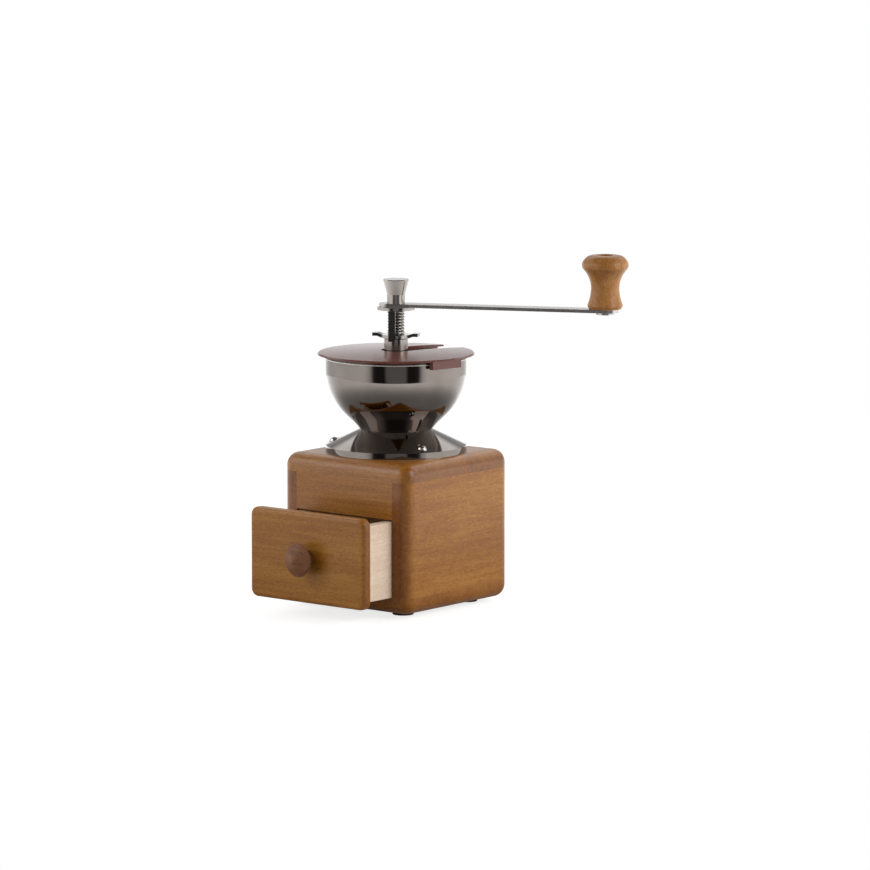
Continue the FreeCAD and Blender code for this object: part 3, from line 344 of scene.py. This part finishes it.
# Bracket over the burrs: a bent strip of steel, held in the bowl by two screws.
# It carries a brass bush for the spindle.
dress(steel("strip_steel", (150, 146, 141), rough=0.3, spread=0.1, scratch=0.12, streak=(40, 1600, 900)),
      "shaft_bracket")
dress(steel("small_screw_steel", (168, 164, 158), rough=0.28, spread=0.1, scratch=0.1),
      "bracket_screws", "burr_nut")
dress(steel("bush_brass", (214, 176, 104), rough=0.26, spread=0.1, scratch=0.1, streak=(200, 200, 1400)),
      "upper_bush")

# Spindle: a turned steel shaft with a collar on the cone burr, a rolled thread for the adjusting nut,
# a square for the cage and arm, and a stud for the handle nut. The thread begins just over the bush,
# and the square ends a little below the top of the arm.
SHAFT_RADIUS = 4.0
TAIL_RADIUS, TAIL_BEVEL = 3.4, 0.6
COLLAR_THICK = 2.0
THREAD_DEPTH, THREAD_GAP, THREAD_ROWS = 0.42, 0.3, 316
SQUARE_HALF, SQUARE_SHORT = 2.8, 0.3
STUD_RADIUS, STUD_BEVEL = 2.7, 0.4
joints = {joint["name"]: joint for joint in frame["joints"]}
nut_on_thread = frame["record"]["behaviour"]["couplings"][0]
thread_pitch = round(2 * math.pi * PER_METRE / abs(nut_on_thread["ratio"]), 3)
arm_end = joints["grip_spin"]["pos_m"]
crank_turn = math.atan2(arm_end[1], arm_end[0])


def spindle_grid(columns=96):
    """Radius over height and angle: plain turned steps, a triangle-wave thread, a square, a stud."""
    tail, stud_top = foot("spindle"), top("spindle")
    collar_radius, collar_foot = reach("spindle"), top("inner_burr")
    collar_top = collar_foot + COLLAR_THICK
    cone_top = collar_top + collar_radius - SHAFT_RADIUS
    thread_foot = top("upper_bush") + THREAD_GAP
    square_foot, square_top = top("lock_spring"), top("crank_arm") - SQUARE_SHORT
    steps = [(tail, TAIL_RADIUS), (tail + TAIL_BEVEL, SHAFT_RADIUS), (collar_foot, SHAFT_RADIUS),
             (collar_foot, collar_radius), (collar_top, collar_radius), (cone_top, SHAFT_RADIUS)]
    thread = [(level, SHAFT_RADIUS) for level in np.linspace(thread_foot, square_foot, THREAD_ROWS)]
    stud = [(square_foot, SQUARE_HALF), (square_top, SQUARE_HALF), (square_top, STUD_RADIUS),
            (stud_top - STUD_BEVEL, STUD_RADIUS), (stud_top, STUD_RADIUS - STUD_BEVEL)]
    profile = np.array(steps + thread + stud)
    angle = np.linspace(0, 2 * math.pi, columns, endpoint=False)[None, :]
    height = profile[:, :1]
    radius = np.repeat(profile[:, 1:], columns, 1)
    phase = np.mod(height / thread_pitch - angle / (2 * math.pi), 1)
    groove = THREAD_DEPTH * (1 - np.abs(2 * phase - 1))
    threaded = (height > thread_foot) & (height < square_foot)
    radius = radius - np.where(threaded, groove, 0)
    turned = angle - crank_turn
    flat = SQUARE_HALF / np.maximum(np.abs(np.cos(turned)), np.abs(np.sin(turned)))
    radius = np.where(profile[:, 1:] == SQUARE_HALF, flat, radius)
    return np.stack([radius * np.cos(angle), radius * np.sin(angle),
                     np.repeat(height, columns, 1)], -1) / PER_METRE


spindle = grid_mesh("threaded_spindle", spindle_grid())
spindle.data.materials.append(steel("spindle_steel", (150, 146, 142), rough=0.26, spread=0.1, scratch=0.08))
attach(spindle, "crank")
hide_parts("spindle")

# Thrust washer, adjusting nut and handle nut: turned from bar and satin finished.
# The lathe leaves rings round the nuts.
LATHE_RINGS = (40, 40, 1800)
dress(steel("satin_nut", (152, 147, 142), rough=0.22, spread=0.03, scratch=0.004, streak=LATHE_RINGS),
      "handle_nut", "thrust_washer")
dress(steel("plated_nut", (138, 131, 126), rough=0.13, spread=0.04, scratch=0.004, streak=LATHE_RINGS),
      "adjusting_nut")

# Lock plate, stop cage and crank arm: stamped from strip and plated dark, with soft brushed marks.
# The cage and arm sit on the spindle's square; the pin of the grip is finished as the arm is.
dress(steel("stamped_steel", (150, 144, 139), rough=0.16, spread=0.06, scratch=0.03, streak=(700, 700, 120)),
      "lock_plate", "stop_cage")
dress(steel("arm_steel", (172, 168, 164), rough=0.27, spread=0.06, scratch=0.02, streak=(90, 90, 900)),
      "crank_arm", "grip_pin")

# Lock spring: one length of drawn wire wound on a bar, its end turns closed flat against
# the lock plate below and the cage above. The real spring shortens as the plate is lifted; here it is built at one
# length.
WIRE = 0.85
ACTIVE_TURNS, END_TURNS = 7, 1
CLOSED_PITCH = WIRE * 1.04
EASE_LEAD, EASE_TURN = 0.25, 0.5
SPRING_FOOT, SPRING_HEAD = foot("lock_spring"), top("lock_spring")
COIL_RADIUS = reach("lock_spring") - WIRE / 2


def spring_grid(rings_per_turn=44, sides=12):
    """Wire section carried along a helix whose pitch eases from closed end turns to open ones."""
    turns = ACTIVE_TURNS + 2 * END_TURNS
    angle = np.linspace(0, 2 * math.pi * turns, turns * rings_per_turn + 1)
    turn = angle / (2 * math.pi)
    rise = np.clip(np.minimum(turn, turns - turn) - END_TURNS + EASE_LEAD, 0, EASE_TURN) / EASE_TURN
    ease = rise * rise * (3 - 2 * rise)
    open_part = np.concatenate([[0], np.cumsum((ease[1:] + ease[:-1]) / 2)])
    total = SPRING_HEAD - SPRING_FOOT - WIRE
    opened = open_part / open_part[-1] * (total - CLOSED_PITCH * turns)
    height = SPRING_FOOT + WIRE / 2 + CLOSED_PITCH * turn + opened
    centre = np.stack([COIL_RADIUS * np.cos(angle), COIL_RADIUS * np.sin(angle), height], -1)
    along = np.gradient(centre, axis=0)
    along /= np.linalg.norm(along, axis=1, keepdims=True)
    outward = np.stack([np.cos(angle), np.sin(angle), np.zeros_like(angle)], -1)
    across = np.cross(along, outward)
    around = np.linspace(0, 2 * math.pi, sides, endpoint=False)
    ring = (np.cos(around)[None, :, None] * outward[:, None]
            + np.sin(around)[None, :, None] * across[:, None])
    return (centre[:, None] + ring * WIRE / 2) / PER_METRE


spring = grid_mesh("coil_spring", spring_grid())
spring.data.materials.append(steel("spring_wire", (186, 182, 176), rough=0.2, spread=0.08, scratch=0.05))
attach(spring, "crank")
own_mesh(spring)
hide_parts("lock_spring")

# Grip: turned on the lathe from one block, grain upright.
# It is sanded, given a satin lacquer, and turns freely on its pin.
GRIP = ((136, 88, 38), (154, 103, 51), (169, 119, 65))
GRIP_PORE = (112, 68, 32)
GRIP_END = (0.82, 0.76, 0.7, 1)
dress(timber("grip_wood", "Z", (0.27, -0.021, 0.178), GRIP, GRIP_PORE, GRIP_END, gloss=0.28, fleck=0.25),
      "grip")

# Lid: one moulding in a reddish brown plastic, satin on top, thin at the edge.
# The mould's fine texture shows as a soft sheen.
LID, LID_SHADE = (108, 64, 55), 0.94
LID_ROUGH, LID_SPREAD = 0.19, 0.05
plastic, tree, shader = finish("lid_plastic", Specular_IOR_Level=0.35)
place = add(tree, "TexCoord", {}).outputs["Object"]
texture = noise(tree, place, (3200, 3200, 3200), 1)
drift = noise(tree, place, (25, 25, 25), 2)
mottle(tree, shader, drift, [channel * LID_SHADE for channel in LID], LID)
rough = weigh(tree, drift, LID_SPREAD, weigh(tree, texture, LID_SPREAD, LID_ROUGH))
tree.links.new(rough, shader.inputs["Roughness"])
relieve(tree, shader, texture, strength=0.05, depth=0.00003)
dress(plastic, "lid")

# Studio floor: a plain white table top that ends a little way in front of the grinder. Seen straight
# it is white and keeps the soft shadow under the case. In the plate it glows a pale grey with a painted
# shade: its mirrored glow is painted dim close to the grinder, where the case would shade it.
VIEW_TURN = math.radians(39.63)
TABLE_RADIUS, TABLE_SIDES = 0.7, 96
TABLE_FRONT = 0.46
TABLE_SHADE = (0.42, 0.42, 0.42, 1)
SEEN_LIFT = 0.78
PAINTED_SHADE_FROM, PAINTED_SHADE_TO, PAINTED_SHADE_GLOW, FAR_GLOW = 0.14, 0.45, 0.1, 1.4


def slope(tree, source, span, levels):
    """A value that eases from the first level to the last while its source crosses the span."""
    made = add(tree, "MapRange", {"Value": source, "From Min": span[0], "From Max": span[1],
                                  "To Min": levels[0], "To Max": levels[1]},
               interpolation_type="SMOOTHSTEP")
    return made.outputs["Result"]


rim = np.linspace(0, 2 * math.pi, TABLE_SIDES, endpoint=False)
table = np.stack([np.cos(rim), np.sin(rim), np.zeros_like(rim)], -1) * TABLE_RADIUS
table += np.array([-math.sin(VIEW_TURN), math.cos(VIEW_TURN), 0]) * (TABLE_RADIUS - TABLE_FRONT)
mesh = bpy.data.meshes.new("studio_floor")
mesh.from_pydata(table.tolist(), [], [list(range(TABLE_SIDES))])
floor = bpy.data.objects.new("studio_floor", mesh)
bpy.context.scene.collection.objects.link(floor)
white, tree, shader = finish("floor_white", Base_Color=TABLE_SHADE, Roughness=0.9, Specular_IOR_Level=0.1,
                             Emission_Color=WHITE)
path = add(tree, "LightPath", {})
mirrored = add(tree, "Math", {0: path.outputs["Is Glossy Ray"], 1: path.outputs["Is Transmission Ray"]},
               operation="MAXIMUM").outputs["Value"]
place = add(tree, "TexCoord", {}).outputs["Object"]
away = add(tree, "VectorMath", {0: place}, operation="LENGTH").outputs["Value"]
# Painted shade: the glow that the plate mirrors is dim near the grinder and rises farther out.
painted_shade_glow = times(tree, slope(tree, away, (PAINTED_SHADE_FROM, PAINTED_SHADE_TO), (PAINTED_SHADE_GLOW, FAR_GLOW)), mirrored)
lift = weigh(tree, path.outputs["Is Camera Ray"], SEEN_LIFT, painted_shade_glow)
tree.links.new(lift, shader.inputs["Emission Strength"])
mesh.materials.append(white)

# Camera: a long lens a little above the lid, towards the near upright edge of the case.
# It aims a little to the right of the part's middle and above it, because the arm reaches out there.
VIEW_RISE = math.radians(8.06)
DISTANCE = 3.28736
LENS, SENSOR, FARTHEST = 220.68, 36, 50
MIDDLE = Vector((0, 0, 0.1))
AIM_RIGHT, AIM_UP = 0.02395, 0.00417
right = Vector((math.cos(VIEW_TURN), math.sin(VIEW_TURN), 0))
back = Vector((math.sin(VIEW_TURN) * math.cos(VIEW_RISE), -math.cos(VIEW_TURN) * math.cos(VIEW_RISE),
               math.sin(VIEW_RISE)))
upward = back.cross(right)
stand = MIDDLE + back * DISTANCE
aim = MIDDLE + right * AIM_RIGHT + upward * AIM_UP
lens = bpy.data.cameras.new("studio_camera")
lens.lens = LENS
lens.sensor_width = SENSOR
lens.clip_end = FARTHEST
camera = bpy.data.objects.new("studio_camera", lens)
camera.location = stand
camera.rotation_euler = (aim - stand).to_track_quat("-Z", "Y").to_euler()
bpy.context.scene.collection.objects.link(camera)
bpy.context.scene.camera = camera

# Studio light: a white room with bright walls at both sides, dim in front and overhead, and with dark
# ground beyond the table on the camera's side. Straight on it is white; the plate mirrors the rest.
# A turn is a bearing from the camera's side in radians, a rise the upward share of a direction.
AHEAD = (math.sin(VIEW_TURN), -math.cos(VIEW_TURN), 0)
ASIDE = (math.cos(VIEW_TURN), math.sin(VIEW_TURN), 0)
SIDE_TURN, FRONT_WALL, SIDE_WALL = (0.5, 1.0), 0.34, 1.6
BACK_TURN, BACK_LOSS = (1.9, 2.6), 0.6
LEFT_SPAN, LEFT_SHARE = (-0.7, 0.1), 0.84
SKY_RISE, SKYLINE, UPPER = (0.1, 0.2), 1.55, 0.55
HIGH_RISE, HIGH_BACK, HIGH_SIDE_SHARE = (0.36, 0.54), 1.5, 0.25
ZENITH_RISE, ZENITH_SHARE = (0.66, 0.84), 0.06
CENTRE_TURN, GROUND_MIDDLE, GROUND_DARK = (0.24, 0.36), 1.1, 0.12
BESIDE_TURN, GROUND_SIDE = (0.6, 0.78), 1.2
HORIZON_RISE = (-0.04, 0.06)
world = bpy.data.worlds.new("studio")
bpy.context.scene.world = world
world.use_nodes = True
tree = world.node_tree
sky = tree.nodes["Background"]
way = add(tree, "TexCoord", {}).outputs["Generated"]
ahead = add(tree, "VectorMath", {0: way, 1: AHEAD}, operation="DOT_PRODUCT").outputs["Value"]
aside = add(tree, "VectorMath", {0: way, 1: ASIDE}, operation="DOT_PRODUCT").outputs["Value"]
height = add(tree, "SeparateXYZ", {"Vector": way}).outputs["Z"]
bearing = add(tree, "Math", {0: aside, 1: ahead}, operation="ARCTAN2").outputs["Value"]
bearing = add(tree, "Math", {0: bearing}, operation="ABSOLUTE").outputs["Value"]
side = slope(tree, bearing, SIDE_TURN, (FRONT_WALL, SIDE_WALL))
around = add(tree, "Math", {0: side, 1: slope(tree, bearing, BACK_TURN, (0.0, BACK_LOSS))},
             operation="SUBTRACT").outputs["Value"]
around = times(tree, around, slope(tree, aside, LEFT_SPAN, (LEFT_SHARE, 1.0)))
low = slope(tree, height, SKY_RISE, (SKYLINE, UPPER))
middle = slope(tree, height, HIGH_RISE, (0.0, HIGH_BACK))
behind = slope(tree, bearing, BACK_TURN, (HIGH_SIDE_SHARE, 1.0))
zenith = slope(tree, height, ZENITH_RISE, (1.0, ZENITH_SHARE))
overhead = times(tree, weigh(tree, middle, behind, low), zenith)
centre = slope(tree, bearing, CENTRE_TURN, (GROUND_MIDDLE, GROUND_DARK))
beside = slope(tree, bearing, BESIDE_TURN, (0.0, GROUND_SIDE))
beside = add(tree, "Math", {0: beside, 1: centre}, operation="MAXIMUM").outputs["Value"]
above_ground = slope(tree, height, HORIZON_RISE, (0.0, 1.0))
room = blend(tree, "MIX", above_ground, times(tree, around, beside), times(tree, around, overhead))
path = add(tree, "LightPath", {})
colour = blend(tree, "MIX", path.outputs["Is Camera Ray"], room, WHITE)
tree.links.new(colour, sky.inputs["Color"])
sky.inputs["Strength"].default_value = 1.0
for name, spot, size, power in (("right_softbox", (1.25, 0.35, 0.75), 0.9, 9),
                                ("left_softbox", (-0.9, -1.0, 0.8), 0.8, 4.5)):
    lamp = bpy.data.lights.new(name, "AREA")
    lamp.size = size
    lamp.energy = power
    holder = bpy.data.objects.new(name, lamp)
    holder.location = spot
    holder.rotation_euler = (MIDDLE - Vector(spot)).to_track_quat("-Z", "Y").to_euler()
    bpy.context.scene.collection.objects.link(holder)

bpy.context.scene.view_settings.view_transform = "Standard"
